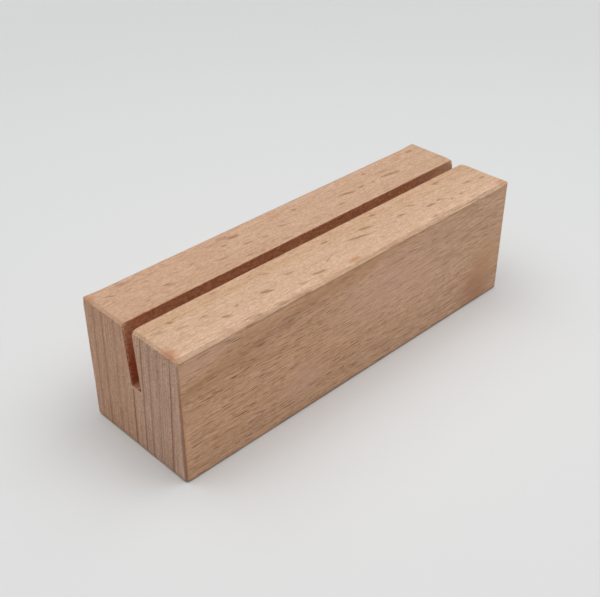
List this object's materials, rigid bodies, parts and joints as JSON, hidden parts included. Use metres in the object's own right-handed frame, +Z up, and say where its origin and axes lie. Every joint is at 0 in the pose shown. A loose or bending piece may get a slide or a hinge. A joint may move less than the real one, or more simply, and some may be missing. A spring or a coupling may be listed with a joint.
{
  "type": "photo block holder",
  "caption": "Solid wooden block with a leaning through slot along its top that holds a photo print or card upright on a table.",
  "frame": {"origin": "middle of the base, on the surface that the block stands on", "axes": "+X along the block and its slot, +Y from the front face to the back face, +Z up"},
  "size_m": [0.1, 0.03, 0.03],
  "materials": {
    "beech": "planed and sanded steamed beech, bare or thinly oiled, matt"
  },
  "bodies": {
    "root": {"beech_block": "beech"}
  },
  "joints": []
}
